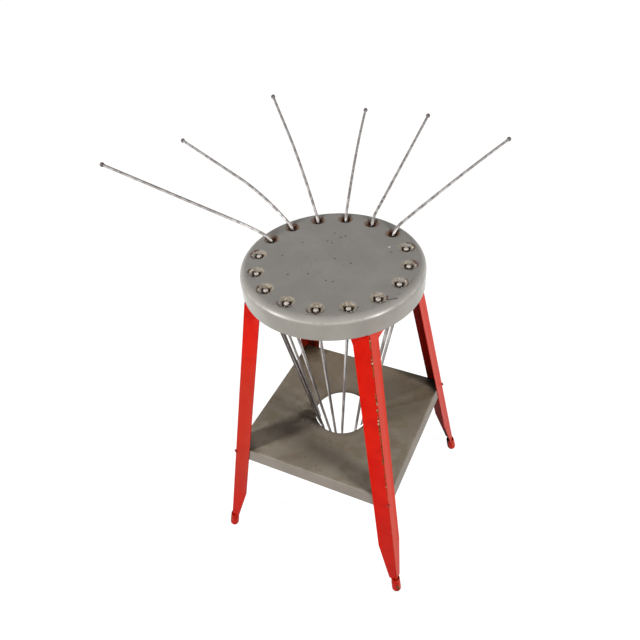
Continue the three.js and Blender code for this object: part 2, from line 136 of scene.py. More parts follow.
# What follows from the sizes
seat_inner = seat_radius - seat_sheet
rim_fit = seat_inner - fit_gap
leg_slope = (leg_floor_radius - leg_rim_radius) / (seat_height - rim_height)
leg_lean = math.atan(leg_slope)
shelf_flare = math.atan(leg_slope / math.sqrt(2))
tab_start = (leg_rim_radius - math.sqrt(2 * rim_fit**2 - leg_rim_radius**2)) / 2
foot_inner = (leg_end_flange * math.sqrt(0.5) + fit_gap) / math.cos(leg_lean)
foot_radius = foot_inner + foot_sheet
cup_radius = foot_radius - cup_shrink
head_radius = ball_radius - head_shrink
foot_dome_level = -seat_height + foot_radius - foot_wear
leg_end_level = foot_dome_level + foot_inner * leg_slope + fit_gap
foot_lip = -seat_height + foot_height
leg_mouth = foot_lip - mouth_drop
leg_taper_level = -seat_height + leg_taper
seat_flat = seat_radius - rim_round
foot_reach = leg_rim_radius - (rim_height + foot_dome_level) * leg_slope - leg_end_flange * math.sqrt(0.5)
foot_middle = foot_reach * math.sqrt(0.5)
nut_face = (leg_sheet + shelf_sheet + 2 * fit_gap) * math.sqrt(2) + nut_width / 2
ball_across = dimple_step_radius - throat_radius
ball_down = throat_depth - dimple_step_depth
ball_reach = (ball_radius + fit_gap) * math.hypot(ball_across, ball_down) - dimple_step_radius * ball_down
ball_level = ball_reach / ball_across - dimple_step_depth
ball_flat_drop = math.sqrt(ball_radius**2 - rod_radius**2)
rod_length = math.hypot(hole_circle - gather_radius, ball_level - shelf_level) + rod_below_shelf


def ridge_radius(level):
    return leg_rim_radius + max(0, -rim_height - level) * leg_slope


shelf_half = ridge_radius(shelf_level) / math.sqrt(2) - (leg_sheet + fit_gap) / math.cos(shelf_flare)


def compass(degrees, radius=1, level=0):
    angle = math.radians(degrees)
    return np.array([radius * math.cos(angle), radius * math.sin(angle), level])


def hole_angle(number):
    return first_hole - (number - 1) * hole_step


def unit(vector):
    return vector / np.linalg.norm(vector)


# Finishes
class Wire:
    """A socket in a node tree. Sums written on it add the nodes that work them out."""

    def __init__(self, nodes, socket):
        self.nodes = nodes
        self.socket = socket

    def apply(self, operation, *others):
        return self.nodes.sum(operation, self, *others)

    def out(self, name):
        """Another output of the same node."""
        return Wire(self.nodes, self.socket.node.outputs[name])

    def __add__(self, other):
        return self.apply("ADD", other)

    def __sub__(self, other):
        return self.apply("SUBTRACT", other)

    def __rsub__(self, other):
        return self.nodes.sum("SUBTRACT", other, self)

    def __mul__(self, other):
        return self.apply("MULTIPLY", other)

    def __truediv__(self, other):
        return self.apply("DIVIDE", other)

    __radd__ = __add__
    __rmul__ = __mul__

    def between(self, low, high):
        """0 up to low, 1 from high on. With high under low it falls instead."""
        if low > high:
            return 1 - self.between(high, low)
        inputs = {"Value": self, "From Min": low, "From Max": high}
        return self.nodes.node("ShaderNodeMapRange", {"interpolation_type": "SMOOTHSTEP"}, inputs)

    def larger(self, other):
        return self.apply("MAXIMUM", other)

    def smaller(self, other):
        return self.apply("MINIMUM", other)

    def absolute(self):
        return self.apply("ABSOLUTE")

    def near(self, value, spread):
        """1 at the value, falling to 0 a spread away on both sides."""
        return (self - value).absolute().between(spread, 0)


class Nodes:
    """The cleared node tree of a material or a world, whose nodes are added by plain calls."""

    def __init__(self, owner):
        owner.use_nodes = True
        self.tree = owner.node_tree
        self.tree.nodes.clear()

    def node(self, kind, settings={}, inputs={}, output=0):
        made = self.tree.nodes.new(kind)
        for name, value in settings.items():
            setattr(made, name, value)
        for name, value in inputs.items():
            socket = made.inputs[name]
            if isinstance(value, Wire):
                self.tree.links.new(value.socket, socket)
            elif socket.type == "RGBA" and len(value) == 3:
                socket.default_value = (*value, 1)
            else:
                socket.default_value = value
        return None if output is None else Wire(self, made.outputs[output])

    def sum(self, operation, *values):
        return self.node("ShaderNodeMath", {"operation": operation}, dict(enumerate(values)))

    def mix(self, share, first, second):
        made = self.tree.nodes.new("ShaderNodeMix")
        made.data_type = "RGBA"
        sockets = [socket for socket in made.inputs if socket.enabled]
        for socket, value in zip(sockets, (share, first, second)):
            if isinstance(value, Wire):
                self.tree.links.new(value.socket, socket)
            else:
                socket.default_value = (*value, 1) if isinstance(value, tuple) else value
        return Wire(self, next(socket for socket in made.outputs if socket.enabled))

    def seen(self):
        """1 for rays from the camera, a gloss or a clear surface, 0 for the light that falls on things."""
        ray = self.node("ShaderNodeLightPath", output="Is Camera Ray")
        return ray.larger(ray.out("Is Glossy Ray")).larger(ray.out("Is Transmission Ray"))

    def end_with(self, kind, shader):
        """Joins the shader to an output node of the given kind."""
        self.node(kind, {}, {0: shader}, output=None)


class Finish(Nodes):
    """A material that is worked out from its place on the object, in millimetres."""

    def __init__(self, name):
        self.material = bpy.data.materials.new(name)
        super().__init__(self.material)
        self.place = self.node("ShaderNodeVectorMath", {"operation": "SCALE"}, {
            "Vector": self.node("ShaderNodeTexCoord", output="Object"), "Scale": 1 / MM,
        })
        split = self.node("ShaderNodeSeparateXYZ", {}, {0: self.place})
        self.x, self.y, self.z = [split.out(name) for name in "XYZ"]
        self.radius = (self.x * self.x + self.y * self.y).apply("SQRT")

    def shifted(self, scale, seed):
        """The place, scaled and moved by the seed, so that each seed gives a pattern of its own."""
        inputs = {0: self.place, 1: tuple(scale), 2: (seed * 7.3, seed * 3.1, seed * 5.7)}
        return self.node("ShaderNodeVectorMath", {"operation": "MULTIPLY_ADD"}, inputs)

    def noise(self, size, detail=2, rough=0.5, stretch=(1, 1, 1), seed=0):
        """Cloudy noise whose patches are about size millimetres across, from 0 to 1."""
        scale = Vector(stretch) / size
        inputs = {"Vector": self.shifted(scale, seed), "Scale": 1, "Detail": detail, "Roughness": rough}
        return self.node("ShaderNodeTexNoise", {}, inputs)

    def spots(self, size, seed=0):
        """The distance to the nearest of scattered points, in spot sizes."""
        place = self.shifted((1 / size,) * 3, seed)
        return self.node("ShaderNodeTexVoronoi", {}, {"Vector": place, "Scale": 1})

    def away(self, x, y, z):
        """The distance from a place, in millimetres."""
        settings = {"operation": "DISTANCE"}
        return self.node("ShaderNodeVectorMath", settings, {0: self.place, 1: (x, y, z)}, "Value")

    def smear(self, start, stop, width, raggedness):
        """1 along a soft stripe seen from above, from one (x, y) place to another."""
        (x, y), (end_x, end_y) = start, stop
        length = math.hypot(end_x - x, end_y - y)
        along_x, along_y = (end_x - x) / length, (end_y - y) / length
        along = (self.x - x) * along_x + (self.y - y) * along_y
        across = (self.y - y) * along_x - (self.x - x) * along_y + raggedness
        return across.near(0, width) * along.between(-width, 0) * along.between(length + width, length)

    def surface(self, colour, roughness, metallic=0.0, height=None, relief=0.3, **constants):
        """Joins everything to the shader. The relief is the height's depth in millimetres."""
        inputs = {"Base Color": colour, "Roughness": roughness, "Metallic": metallic}
        inputs.update({name.replace("_", " "): value for name, value in constants.items()})
        if height is not None:
            bump = {"Height": height, "Strength": 1.0, "Distance": relief * MM}
            inputs["Normal"] = self.node("ShaderNodeBump", {}, bump)
        self.end_with("ShaderNodeOutputMaterial", self.node("ShaderNodeBsdfPrincipled", {}, inputs))
        return self.material


def paint(*codes):
    """A colour given as display values from 0 to 255."""
    shares = [code / 255 for code in codes]
    return tuple(s / 12.92 if s <= 0.04045 else ((s + 0.055) / 1.055) ** 2.4 for s in shares)


# Marks, and patches of painted light and shade, on the seat and the shelf, in millimetres from the stool's
# middle
seat_pits = [
    (-32, 84), (-15, 73), (-8, 82), (-34, 54), (-23, 50), (-78, 32), (4, 5), (38, 1), (-23, -55),
    (-57, -70), (16, -62), (30, -61), (95, 60), (-95, -20),
]
seat_chip = (86, 74, 0)
rim_chip = (100, -137, -8)
seat_scratch = ((141, -74), (152, -64))
red_smudge = (130, -116, -28)
seat_line = seat_flat + 2
shelf_light_pool = (-100, -140, shelf_level)
shelf_shade_pool = (-30, -110, shelf_level)
hole_stain_and_shade = (-64, -44, shelf_level)
corner_stain_and_shade = (-178, 178, shelf_level)


def seat_enamel():
    finish = Finish("seat_enamel")
    turns = (finish.y.apply("ARCTAN2", finish.x) * math.degrees(1) - first_hole) / hole_step
    number = turns.apply("ROUND")
    swing = (turns - number) * math.radians(hole_step)
    out = finish.radius * swing.apply("COSINE") - hole_circle
    side = finish.radius * swing.apply("SINE")
    reach = (out * out + side * side).apply("SQRT")
    chance = finish.node("ShaderNodeTexWhiteNoise", {"noise_dimensions": "1D"}, {"W": number})
    raised = (number - 2.5).absolute().between(2.9, 2.6)
    cloud = finish.noise(70, 3, 0.55)
    speckle = finish.noise(2.2, 3, 0.7, seed=1)
    ragged = (finish.noise(5, 4, 0.65, seed=2) - 0.5) * 7
    blot = finish.noise(4, 3, 0.6, seed=4)
    on_top = finish.z.between(-14, -5)

    # The same enamel is painted lighter on the top than on the bend and the skirt: painted light, as the
    # lamps light the top less than the sides
    colour = finish.mix(cloud.between(0.35, 0.7), paint(131, 127, 119), paint(141, 137, 129))
    top = finish.mix(cloud.between(0.35, 0.7), paint(150, 146, 139), paint(160, 156, 149))
    colour = finish.mix(on_top, colour, top)
    colour = finish.mix(speckle.between(0.55, 0.8) * 0.22, colour, paint(112, 106, 98))
    # Tan dirt and painted light on each dimple's slope with paler flecks, partly painted glints, most of it
    # towards the seat's middle
    halo = (reach + ragged * 1.2).between(18, 10) * out.between(10, -4) * (0.5 + 0.5 * chance)
    halo = halo * (0.35 + 0.65 * blot.between(0.4, 0.56)) * (1 - 0.6 * raised)
    colour = finish.mix(halo * 0.62, colour, paint(146, 124, 88))
    fleck_and_glint = finish.noise(3.4, 2, 0.6, seed=15).between(0.54, 0.62)
    fleck_and_glint = fleck_and_glint * (reach + ragged).between(17, 13) * out.between(0, -7) * (1 - raised)
    colour = finish.mix(fleck_and_glint * 0.7, colour, paint(206, 192, 156))
    # Brown rust, all round the holes that stand open and in patches round the others
    spread = (blot.between(0.5, 0.62) * 0.6 + raised * 0.7).smaller(1)
    rust = (reach + ragged * 1.2).between(17, 12.5) * spread
    colour = finish.mix(rust * 0.9, colour, paint(92, 56, 28))
    # A brown arc of dirt and painted shade on each dimple's outer edge, with a few painted glints inside it
    lip = (reach + ragged * 0.8).near(15.4, 3.4) * (out.between(1, 8) * (1 - raised))
    lip = lip * (0.15 + 0.85 * finish.noise(9, 2, seed=5).between(0.42, 0.5))
    lip = (lip * 1.5).smaller(1)
    colour = finish.mix(lip * 0.9, colour, paint(84, 46, 16))
    glint = (reach + ragged * 0.5).near(12.6, 2.2) * out.between(3, 7)
    glint = glint * finish.noise(5, 2, seed=14).between(0.52, 0.58) * (1 - raised)
    colour = finish.mix(glint * 0.9, colour, paint(232, 222, 192))
    # A thin broken line where the bend starts
    ring = finish.radius.near(seat_line, 1.4) * finish.noise(9, 2, seed=6).between(0.45, 0.62)
    colour = finish.mix(ring * 0.5, colour, paint(92, 80, 66))
    # Dark grime and painted shade in the funnel
    grime_and_shade = (reach - 1.4 * raised + ragged * 0.45).between(8.9, 7.5)
    soot_and_shade = finish.mix(raised * blot.between(0.4, 0.5), paint(52, 24, 2), paint(104, 58, 22))
    colour = finish.mix(grime_and_shade * 0.97, colour, soot_and_shade)
    # Dark pits, fine specks in the middle, a bare chip and a scratch
    nearest = finish.away(*seat_pits[0], 0)
    for x, y in seat_pits[1:]:
        nearest = nearest.smaller(finish.away(x, y, 0))
    pit = (nearest + (speckle - 0.5) * 4).between(2.6, 1.2)
    few = finish.spots(6, seed=3).between(0.2, 0.1) * finish.noise(30, 1, seed=8).between(0.46, 0.56)
    pit = (pit + few * finish.away(-5, 12, 0).between(95, 50)).smaller(1)
    scratch = finish.smear(*seat_scratch, 2.2, (speckle - 0.5) * 3) * on_top
    colour = finish.mix(pit * 0.85, colour, paint(50, 40, 34))
    colour = finish.mix(scratch * 0.9, colour, paint(40, 28, 20))
    chip = (finish.away(*seat_chip).smaller(finish.away(*rim_chip) + 0.7)).between(2.8, 1.9)
    colour = finish.mix(chip, colour, paint(246, 238, 220))
    # Dirt along the rim's foot, and a smudge of the legs' red
    edge = finish.z.between(-43.2, -44.6) * finish.noise(6, 3, seed=9).between(0.42, 0.55)
    colour = finish.mix(edge * 0.6, colour, paint(98, 88, 76))
    smudge = finish.away(*red_smudge).between(20, 4) * finish.noise(6, 3, seed=11).between(0.45, 0.65)
    colour = finish.mix(smudge * 0.22, colour, paint(176, 96, 84))
    # The bend is rubbed pale here and there
    rubbed = finish.z.near(-8, 3) * finish.noise(22, 3, 0.6, seed=12).between(0.42, 0.6)
    colour = finish.mix(rubbed * 0.4, colour, paint(196, 192, 182))

    roughness = 0.12 + 0.06 * cloud + 0.6 * (grime_and_shade + halo) + 0.2 * rust + 0.24 * on_top
    height = finish.noise(1.4, 2, 0.5, seed=10) * 0.05 + cloud * 0.5 - pit * 0.4 - rust * 0.12 - chip * 0.2
    return finish.surface(colour, roughness, 0.0, height, 0.5, Specular_IOR_Level=0.4)


def shelf_enamel():
    finish = Finish("shelf_enamel")
    cloud = finish.noise(95, 3, 0.55, seed=1)
    stain = finish.noise(34, 4, 0.6, seed=2)
    speckle = finish.noise(2.2, 3, 0.7, seed=3)
    on_top = finish.z.between(shelf_level - 3, shelf_level - 0.8)
    colour = finish.mix(cloud.between(0.35, 0.65), paint(118, 110, 101), paint(128, 120, 111))
    top = finish.mix(cloud.between(0.36, 0.64), paint(124, 115, 102), paint(140, 131, 118))
    top = finish.mix(stain.between(0.46, 0.66) * 0.45, top, paint(104, 90, 64))
    # A painted pool of light at the front left, and painted shade on a patch at the front middle
    rubbed = finish.away(*shelf_light_pool).between(60, 20) * 0.12
    top = finish.mix(rubbed, top, paint(150, 142, 128))
    dull = finish.away(*shelf_shade_pool).between(90, 30) * 0.35
    top = finish.mix(dull, top, paint(104, 94, 80))
    # Brown dust and painted shade towards the back, the right leg's painted shadow along the back edge with a
    # thin dark line at the edge, and grime and painted shade in the corners
    back = (finish.y + 110 * (stain - 0.5)).between(-80, 160) * 0.6
    top = finish.mix(back, top, paint(112, 97, 76))
    # The right leg's painted shadow along the back edge
    leg_shadow_strip = (finish.y + 30 * (stain - 0.5)).between(158, 177) * finish.x.between(40, 120)
    thin_line = finish.y.between(174, 176) * finish.x.between(-50, 20) * 0.85
    top = finish.mix((leg_shadow_strip * 0.6).larger(thin_line), top, paint(34, 24, 16))
    # Grime and painted shade in the corners inside the legs' angles
    towards_corner = finish.x.absolute() + finish.y.absolute()
    corner = (towards_corner + 50 * (stain - 0.5)).between(292, 336)
    top = finish.mix(corner * 0.85, top, paint(46, 34, 22))
    # The right leg's painted shadow, black in its corner
    right_corner_shadow = (finish.x + finish.y + 24 * (stain - 0.5)).between(304, 326)
    top = finish.mix(right_corner_shadow * 0.95, top, paint(10, 7, 5))
    # Two brown stains, which also paint in the deep shade by the hole's left edge and in the back corner, a
    # browned rim round the hole and scattered spots
    stains_and_shade = finish.away(*hole_stain_and_shade).between(58, 14).larger(finish.away(*corner_stain_and_shade).between(96, 22))
    top = finish.mix(stains_and_shade * stain.between(0.38, 0.56) * 0.8, top, paint(56, 42, 24))
    mouth = (finish.radius + 16 * (stain - 0.5)).between(76, 63) * 0.3
    mouth = mouth.larger(finish.radius.between(shelf_hole + 2.6, shelf_hole + 1) * 0.75)
    top = finish.mix(mouth, top, paint(62, 46, 30))
    spot = finish.spots(26, seed=5).between(0.085, 0.04)
    top = finish.mix(spot * 0.7, top, paint(74, 52, 34))
    colour = finish.mix(on_top, colour, top)
    colour = finish.mix(speckle.between(0.52, 0.75) * 0.35, colour, paint(84, 72, 56))
    roughness = 0.5 + 0.14 * cloud + 0.1 * stain
    height = finish.noise(1.6, 2, 0.5, seed=4) * 0.04 + cloud * 0.5
    return finish.surface(colour, roughness, 0.0, height, 0.5, Specular_IOR_Level=0.35)


def leg_enamel(name, wear):
    """Red enamel, chipped to brown primer and bare steel along the ridge. Wear is the share of chips."""
    finish = Finish(name)
    cloud = finish.noise(45, 3, 0.6, seed=1)
    chips = finish.noise(5.5, 5, 0.7, stretch=(1, 1, 0.75), seed=2)
    patch = finish.noise(26, 3, 0.6, seed=3)
    ridge = leg_rim_radius + (-rim_height - finish.z) * leg_slope - finish.radius
    off_ridge = ridge * math.sqrt(2)
    colour = finish.mix(cloud.between(0.35, 0.65), paint(188, 14, 0), paint(198, 22, 4))
    grain = finish.noise(3, 3, 0.7, stretch=(1, 1, 0.4), seed=6)
    colour = finish.mix(grain.between(0.5, 0.75) * 0.3, colour, paint(146, 16, 8))
    # Darker towards the foot
    low = (finish.z + 60 * (patch - 0.5)).between(-300, -680)
    colour = finish.mix(low * 0.42, colour, paint(142, 20, 8))
    # Chips, most of them on the ridge between the rim and the shelf, each with a darker fringe
    span = finish.z.between(-470, -340) * finish.z.between(-40, -62) * 0.9 + 0.1
    least = 0.68 - 0.24 * span * wear + 0.05 * off_ridge + 0.42 * (0.5 - patch)
    rubbed = (off_ridge + 5 * (chips - 0.5)).between(3.2, 1.2) * patch.between(0.36, 0.5) * span * wear
    rubbed = rubbed * finish.noise(7, 3, 0.65, stretch=(1, 1, 0.4), seed=13).between(0.44, 0.52)
    chipped = (chips - least).between(0.0, 0.025).larger(rubbed)
    fringe = (chips - least).between(-0.05, 0.0).larger(rubbed * 0.7)
    colour = finish.mix(fringe * 0.85, colour, paint(84, 12, 6))
    primer = finish.noise(5, 2, seed=5).between(0.42, 0.58)
    brown = finish.mix(primer, paint(66, 44, 22), paint(112, 92, 50))
    bright = finish.noise(7, 2, seed=12).between(0.62, 0.7)
    colour = finish.mix(chipped, colour, finish.mix(bright, brown, paint(214, 194, 160)))
    specks = finish.spots(38, seed=7).between(0.05, 0.02)
    colour = finish.mix(specks * 0.8, colour, paint(90, 20, 12))
    # Worn under the feet
    foot = finish.z.between(15 - seat_height, -seat_height)
    foot = foot * finish.noise(6, 3, 0.6, seed=8).between(0.52, 0.62)
    colour = finish.mix(foot * 0.6, colour, paint(140, 70, 56))
    # Inside the cups is painted black: painted shade
    axis = foot_middle + (foot_dome_level - finish.z) * (leg_slope * math.sqrt(0.5))
    out_x = finish.x.absolute() - axis
    out_y = finish.y.absolute() - axis
    within = (out_x * out_x + out_y * out_y).apply("SQRT").between(foot_radius - 0.3, foot_radius - 0.9)
    colour = finish.mix(within * finish.z.between(foot_lip - 4, foot_lip - 10), colour, paint(8, 4, 4))
    # The hollow of the angle is painted darker as shade, and painted black as shade where it runs down into
    # the foot
    outline = (ridge + finish.radius) * math.sqrt(0.5)
    hollow = outline - finish.x.absolute().larger(finish.y.absolute())
    hollow = hollow.between(0.5, 1.1) * finish.z.between(foot_lip - 3, foot_lip)
    colour = finish.mix(hollow * 0.72, colour, paint(84, 6, 4))
    # Dark brown patches in the hollow by the shelf: dirt, and painted shade there
    dirt_and_shade = hollow * finish.z.between(-350, -420) * finish.z.between(shelf_level - 40, shelf_level)
    dirt_and_shade = dirt_and_shade * finish.noise(12, 3, 0.6, seed=15).between(0.4, 0.55)
    colour = finish.mix(dirt_and_shade * 0.85, colour, paint(52, 30, 14))
    # Painted black shade where the hollow runs down into the foot
    colour = finish.mix(hollow * finish.z.between(-636, -652), colour, paint(6, 3, 3))
    # A painted sheen on the faces that are turned to +X
    painted_sheen = (outline - finish.x).between(0.9, 0.3) * (outline - finish.y.absolute()).between(0.9, 2)
    colour = finish.mix(painted_sheen * 0.5, colour, paint(190, 66, 42))
    # A painted sheen on the left leg's front face, which makes it greyer and less red
    painted_front_sheen = (outline + finish.y).between(0.9, 0.3) * (outline + finish.x).between(0.9, 2)
    painted_front_sheen = painted_front_sheen * finish.x.between(0, -20) * finish.z.between(-120, -260) * finish.z.between(-640, -500)
    painted_front_sheen = painted_front_sheen * (0.2 + 0.35 * cloud)
    colour = finish.mix(painted_front_sheen, colour, paint(140, 56, 36))
    roughness = 0.36 + 0.1 * cloud + 0.25 * chipped + 0.2 * foot
    height = 0.3 * cloud - 0.35 * chipped + 0.04 * finish.noise(1.5, 2, seed=9)
    return finish.surface(colour, roughness, chipped * 0.3, height, 0.4, Specular_IOR_Level=0.07)


def rod_metal(name, dark, stretch, side):
    """Dull steel wire with streaks and a little rust. Dark is the share of brown all along it, and side the
    share of painted shade down the side that is turned to +X."""
    finish = Finish(name)
    streak = finish.noise(13, 2, 0.5, stretch=stretch, seed=1)
    spot = finish.noise(14, 3, 0.6, seed=2)
    colour = finish.mix(streak.between(0.36, 0.64), paint(136, 129, 126), paint(204, 200, 197))
    colour = finish.mix(dark, colour, paint(70, 54, 46))
    rust = spot.between(0.56, 0.7)
    colour = finish.mix(rust * 0.4, colour, paint(96, 76, 66))
    # Painted shade down the side that is turned to +X
    facing = finish.node("ShaderNodeTexCoord", output="Normal")
    facing_x = finish.node("ShaderNodeSeparateXYZ", {}, {0: facing})
    shade = (facing_x + 0.5 * (spot - 0.5)).between(0.05, 0.6) * side
    colour = finish.mix(shade, colour, paint(66, 54, 48))
    # What reaches far out above the seat is duller, and on the left it is painted darker: painted shade
    # against the left lamp's light
    aloft = finish.z.between(10, 40)
    colour = finish.mix(aloft * 0.4, colour, paint(150, 144, 142))
    left = finish.x.between(-150, -260) * (0.14 + 0.34 * finish.y.between(140, 60))
    colour = finish.mix(aloft * left, colour, paint(66, 58, 56))
    roughness = 0.3 + 0.12 * streak + 0.3 * rust + 0.2 * aloft
    height = finish.noise(1.6, 2, seed=3)
    return finish.surface(colour, roughness, 0.3 - 0.2 * rust, height, 0.02)


def ball_metal():
    """Steel, rubbed pale where a stored head stands up in its dimple, painted dark brown below as shade in
    the funnel, and dull aloft.
    """
    finish = Finish("ball_metal")
    worn = finish.noise(3, 3, 0.6, seed=1)
    stored = finish.z.between(-10.6, -8.6) * finish.z.between(4, 1)
    dull = finish.mix(worn.between(0.35, 0.65), paint(74, 66, 66), paint(104, 96, 94))
    # Painted shade: dark brown where the heads sit down in the funnel
    dull = finish.mix(finish.z.between(0, -2), dull, paint(70, 42, 24))
    pale = finish.mix(worn.between(0.4, 0.7), paint(214, 203, 193), paint(188, 175, 164))
    colour = finish.mix(stored, dull, pale)
    tarnish = finish.noise(4, 3, seed=2).between(0.6, 0.75)
    colour = finish.mix(tarnish * 0.35, colour, paint(126, 104, 82))
    roughness = 0.5 + 0.16 * worn
    return finish.surface(colour, roughness, 0.5 - 0.4 * stored, worn, 0.06)


def bolt_metal():
    finish = Finish("bolt_metal")
    worn = finish.noise(2.5, 3, 0.6, seed=1)
    colour = finish.mix(worn.between(0.45, 0.62), paint(150, 20, 10), paint(62, 18, 12))
    roughness = 0.42 + 0.2 * worn
    return finish.surface(colour, roughness, 0.1, worn, 0.1, Specular_IOR_Level=0.3)


# Mesh work
def add_piece(name, points, faces, node, body, finish, sheet=0):
    """Makes a mesh piece from points in millimetres that stands for a CAD node and rides on its body. A sheet
    is thickened inwards, and its cut edges are rounded."""
    shape = bmesh.new()
    verts = [shape.verts.new(tuple(point)) for point in np.asarray(points, float) * MM]
    for face in faces:
        corners = list(dict.fromkeys(verts[i] for i in face))
        if len(corners) > 2:
            shape.faces.new(corners)
    bmesh.ops.remove_doubles(shape, verts=shape.verts, dist=weld_distance * MM)
    loose = [vert for vert in shape.verts if not vert.link_faces]
    bmesh.ops.delete(shape, geom=loose, context="VERTS")
    bmesh.ops.recalc_face_normals(shape, faces=shape.faces)
    mesh = bpy.data.meshes.new(name)
    shape.to_mesh(mesh)
    shape.free()
    piece = bpy.data.objects.new(name, mesh)
    bpy.context.scene.collection.objects.link(piece)
    if sheet:
        thick = piece.modifiers.new("sheet", "SOLIDIFY")
        thick.thickness = sheet * MM
        thick.offset = -1
        thick.use_even_offset = True
        thick.use_quality_normals = True
        rounded = piece.modifiers.new("edge", "BEVEL")
        rounded.width = sheet_edge * MM
        rounded.segments = 2
        rounded.limit_method = "ANGLE"
        rounded.angle_limit = math.radians(edge_angle)
        scene_now = bpy.context.evaluated_depsgraph_get()
        mesh = bpy.data.meshes.new_from_object(piece.evaluated_get(scene_now))
        piece.modifiers.clear()
        piece.data = mesh
    mesh.name = name
    mesh.shade_smooth()
    mesh.set_sharp_from_angle(angle=math.radians(smooth_angle))
    mesh.materials.clear()
    mesh.materials.append(finish)
    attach(piece, body)
    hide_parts(node)


def grid_faces(rows, columns, closed=False, skip=None):
    """Quads between rows of points that have equal counts. Closed joins each row's end to its start."""
    faces = []
    for i in range(rows - 1):
        for j in range(columns if closed else columns - 1):
            if skip and skip(i, j):
                continue
            k = (j + 1) % columns
            faces.append((i * columns + j, i * columns + k, (i + 1) * columns + k, (i + 1) * columns + j))
    return faces


def joined(parts):
    """Puts several (points, faces) together as one."""
    points, faces = [], []
    for some, more in parts:
        faces.extend(tuple(i + len(points) for i in face) for face in more)
        points.extend(some)
    return points, faces


def turned(profile, sides):
    """Points and faces of a (radius, height) profile turned round +Z."""
    rows = []
    for radius, height in profile:
        rows.extend(compass(360 * j / sides, radius, height) for j in range(sides))
    return rows, grid_faces(len(profile), sides, closed=True)


def stood(points, place, direction):
    """Turns points made along +Z to the direction and moves them to the place."""
    turn = Vector((0, 0, 1)).rotation_difference(Vector(direction))
    return [np.array(turn @ Vector(point)) + place for point in points]


def arc(centre, radius, start, stop, steps):
    angles = np.radians(np.linspace(start, stop, steps + 1))
    return [(centre[0] + radius * math.cos(a), centre[1] + radius * math.sin(a)) for a in angles]


def ripple(point, size, depth, seed=0.0):
    """A smooth dent depth from 0 to the given depth, the same in every run."""
    x, y, z = point
    return depth * 0.5 * (1 + noise.noise(Vector((x / size + seed, y / size, z / size))))


# Seat pan: sixteen dimpled sectors, the flat middle, the bend and the rim
dimple_profile = [
    (throat_radius, -throat_depth - seat_sheet), (throat_radius, -9.9), (4.62, -9.15), (5.3, -8.3),
    (6.6, -6.9), (7.9, -5.5), (8.7, -4.68), (9.6, -3.98), (11, -2.95), (12.6, -1.8), (13.8, -0.98),
    (14.8, -0.42), (15.8, -0.1), (17, 0),
]
patch_inner, patch_outer = 121, 165
side_steps, ray_steps = 14, 12


def seat_level(radius):
    return 0 if radius <= seat_flat else math.sqrt(rim_round**2 - (radius - seat_flat) ** 2) - rim_round


def seat_point(x, y, drop=0.0):
    radius = math.hypot(x, y)
    dent = ripple((x, y, 0), seat_dent_width, seat_dent) * min(1, max(0, (160 - radius) / 60))
    return np.array([x, y, seat_level(radius) - drop - dent])


def dimple_sector(number):
    angle = hole_angle(number)
    centre = compass(angle, hole_circle)
    half = hole_step / 2
    swings = np.linspace(-half, half, side_steps + 1)
    radii = np.linspace(patch_outer, patch_inner, ray_steps + 1)
    border = [(patch_outer, swing) for swing in swings[:-1]]
    border += [(radius, half) for radius in radii[:-1]]
    border += [(patch_inner, swing) for swing in swings[:0:-1]]
    border += [(radius, -half) for radius in radii[:0:-1]]
    border = [compass(angle + swing, radius) - centre for radius, swing in border]
    points = []
    for radius, level in dimple_profile:
        points += [seat_point(*(centre + unit(spoke) * radius)[:2], -level) for spoke in border]
    last = dimple_profile[-1][0]
    for share in (0.2, 0.45, 0.72, 1):
        for spoke in border:
            place = centre + unit(spoke) * last * (1 - share) + spoke * share
            points.append(seat_point(*place[:2]))
    return points, grid_faces(len(points) // len(border), len(border), closed=True)


def seat_pan():
    around = hole_count * side_steps
    turn = first_hole + hole_step / 2
    spin = [turn + 360 * j / around for j in range(around)]
    middle = []
    for radius in np.linspace(0, patch_inner, 25):
        middle += [seat_point(*compass(angle, max(radius, 0.001))[:2]) for angle in spin]
    start = math.degrees(math.acos((patch_outer - seat_flat) / rim_round))
    fold = arc((seat_flat, -rim_round), rim_round, start, 0, 10)
    fold += [(seat_radius, level) for level in np.linspace(-rim_round, -rim_height, 9)[1:]]
    rim = [compass(angle, radius, level) for radius, level in fold for angle in spin]
    parts = [dimple_sector(number) for number in range(1, hole_count + 1)]
    parts.append((middle, grid_faces(25, around, closed=True)))
    parts.append((rim, grid_faces(len(fold), around, closed=True)))
    return joined(parts)


points, faces = seat_pan()
add_piece("pressed_seat", points, faces, "seat_pan", "stool", seat_enamel(), seat_sheet)


# Shelf: a folded square tray with a round hole
def rounded_square(half, corner, level, steps=22):
    """A level ring whose points start in the middle of the +X side and go round anticlockwise."""
    quarter = [(half, (half - corner) * share) for share in np.linspace(0, 1, steps + 1)[:-1]]
    quarter += arc((half - corner, half - corner), corner, 0, 90, 6)
    quarter += [((half - corner) * share, half) for share in np.linspace(1, 0, steps + 1)[1:-1]]
    ring = []
    for k in range(4):
        c, s = round(math.cos(k * math.pi / 2)), round(math.sin(k * math.pi / 2))
        ring += [np.array([c * x - s * y, s * x + c * y, level]) for x, y in quarter]
    return ring


